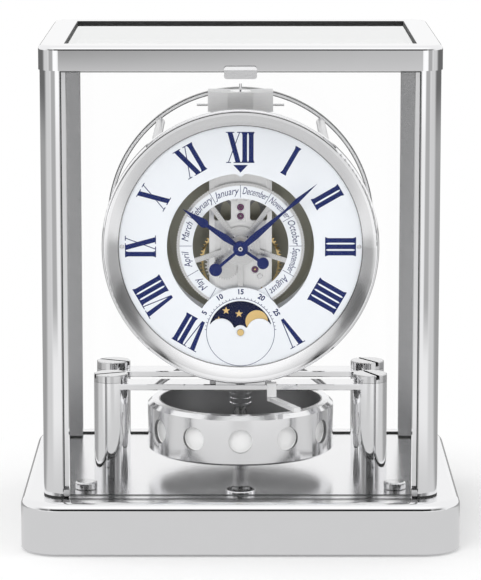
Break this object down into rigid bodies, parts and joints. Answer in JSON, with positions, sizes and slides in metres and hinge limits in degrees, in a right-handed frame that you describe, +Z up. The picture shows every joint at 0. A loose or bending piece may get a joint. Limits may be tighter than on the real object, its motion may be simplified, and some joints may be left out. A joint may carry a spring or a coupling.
{
  "type": "moon phase desk clock",
  "caption": "Glazed metal mantel clock with a skeleton movement, month wheel and moon phase sub-dial over a slow turning ring pendulum.",
  "frame": {"origin": "on the table under the middle of the plinth", "axes": "+Z up, +X to the right as the dial is read, -Y towards the reader"},
  "size_m": [0.192, 0.156, 0.221],
  "materials": {
    "polished_chrome": "polished",
    "satin_silver": "satin",
    "brass": "polished",
    "clear_glass": "polished",
    "dark_rubber": "matte",
    "black_steel": "matte",
    "white_dial": "satin",
    "blued_steel": "gloss",
    "ruby": "gloss",
    "moon_blue": "gloss",
    "drum_metal": "satin",
    "wire_steel": "satin"
  },
  "bodies": {
    "case": {"base_plinth": "polished_chrome", "front_pillars": "polished_chrome", "rear_pillars": "polished_chrome", "top_frame": "polished_chrome", "bezel": "polished_chrome", "level_ring": "polished_chrome", "support_columns": "polished_chrome", "column_screws": "polished_chrome", "front_beam": "polished_chrome", "rear_beam": "polished_chrome", "front_ring": "polished_chrome", "movement_ring": "polished_chrome", "ring_posts": "polished_chrome", "rear_ring": "polished_chrome", "suspension_tube": "polished_chrome", "suspension_bridge": "polished_chrome", "lock_bracket": "polished_chrome", "movement_feet": "polished_chrome", "drum_cradle": "polished_chrome", "front_bridge": "satin_silver", "back_plate": "satin_silver", "movement_pillars": "satin_silver", "lock_post": "satin_silver", "bellows_capsule": "brass", "top_glass": "clear_glass", "side_glasses": "clear_glass", "rear_glass": "clear_glass", "level_glass": "clear_glass", "floor_gaskets": "dark_rubber", "top_seal": "dark_rubber", "rear_foot": "dark_rubber", "bottom_plate": "black_steel", "dial_plate": "white_dial", "bridge_jewels": "ruby", "bellows_drum": "drum_metal", "drum_cover": "drum_metal"},
    "pendulum": {"pendulum_ring": "polished_chrome", "pendulum_spider": "satin_silver", "torsion_wire": "wire_steel"},
    "minute": {"minute_hand": "blued_steel", "cannon_pinion": "brass", "centre_wheel": "brass"},
    "hour": {"hour_hand": "blued_steel", "hour_wheel": "brass"},
    "motion": {"minute_wheel": "brass"},
    "intermediate": {"intermediate_wheel": "brass"},
    "barrel": {"barrel_wheel": "brass"},
    "third": {"third_wheel": "brass"},
    "escape": {"escape_wheel": "brass"},
    "month": {"month_ring": "satin_silver"},
    "moon": {"moon_disc": "moon_blue"},
    "lock": {"lock_lever": "polished_chrome"},
    "regulator": {"regulator": "wire_steel"},
    "door": {"door_glass": "clear_glass", "door_handle": "polished_chrome", "door_shoes": "polished_chrome"},
    "left_leveller": {"knob_left": "polished_chrome", "foot_left": "dark_rubber"},
    "right_leveller": {"knob_right": "polished_chrome", "foot_right": "dark_rubber"}
  },
  "joints": [
    {"name": "minute_turn", "type": "hinge", "parent": "case", "child": "minute", "pos_m": [0, 0, 0.1288], "axis": [0, 1, 0], "continuous": true},
    {"name": "hour_turn", "type": "hinge", "parent": "case", "child": "hour", "pos_m": [0, 0, 0.1288], "axis": [0, 1, 0], "continuous": true},
    {"name": "motion_turn", "type": "hinge", "parent": "case", "child": "motion", "pos_m": [-0.0066, 0, 0.11902], "axis": [0, 1, 0], "continuous": true},
    {"name": "intermediate_turn", "type": "hinge", "parent": "case", "child": "intermediate", "pos_m": [0, 0, 0.1418], "axis": [0, 1, 0], "continuous": true},
    {"name": "barrel_turn", "type": "hinge", "parent": "case", "child": "barrel", "pos_m": [0, 0, 0.1193], "axis": [0, 1, 0], "continuous": true},
    {"name": "third_turn", "type": "hinge", "parent": "case", "child": "third", "pos_m": [0.00642, 0, 0.11795], "axis": [0, 1, 0], "continuous": true},
    {"name": "escape_turn", "type": "hinge", "parent": "case", "child": "escape", "pos_m": [0.00941, 0, 0.10973], "axis": [0, 1, 0], "continuous": true},
    {"name": "month_turn", "type": "hinge", "parent": "case", "child": "month", "pos_m": [0, 0, 0.1288], "axis": [0, 1, 0], "continuous": true},
    {"name": "moon_turn", "type": "hinge", "parent": "case", "child": "moon", "pos_m": [0, 0, 0.0904], "axis": [0, 1, 0], "continuous": true},
    {"name": "pendulum_swing", "type": "hinge", "parent": "case", "child": "pendulum", "pos_m": [0, -0.004, 0.0432], "axis": [0, 0, 1], "range_deg": [-180, 180], "stiffness_Nm_per_rad": 0.000004},
    {"name": "lock_swing", "type": "hinge", "parent": "case", "child": "lock", "pos_m": [0.0139, -0.02785, 0.06], "axis": [0, 0, 1], "range_deg": [-35, 0]},
    {"name": "regulator_turn", "type": "hinge", "parent": "case", "child": "regulator", "pos_m": [0, -0.004, 0.1888], "axis": [0, 0, 1], "range_deg": [-8, 8]},
    {"name": "door_tilt", "type": "hinge", "parent": "case", "child": "door", "pos_m": [0, -0.0657, 0.0257], "axis": [1, 0, 0], "range_deg": [0, 30]},
    {"name": "left_leveller_turn", "type": "hinge", "parent": "case", "child": "left_leveller", "pos_m": [-0.068, -0.048, 0.0255], "axis": [0, 0, 1], "range_deg": [0, 720]},
    {"name": "right_leveller_turn", "type": "hinge", "parent": "case", "child": "right_leveller", "pos_m": [0.068, -0.048, 0.0255], "axis": [0, 0, 1], "range_deg": [0, 720]}
  ],
  "couplings": [
    {"joint": "hour_turn", "follows": "minute_turn", "ratio": 0.083333},
    {"joint": "motion_turn", "follows": "minute_turn", "ratio": -0.33333},
    {"joint": "intermediate_turn", "follows": "minute_turn", "ratio": -0.15385},
    {"joint": "barrel_turn", "follows": "minute_turn", "ratio": 0.038462},
    {"joint": "third_turn", "follows": "minute_turn", "ratio": -7},
    {"joint": "escape_turn", "follows": "minute_turn", "ratio": 42}
  ]
}
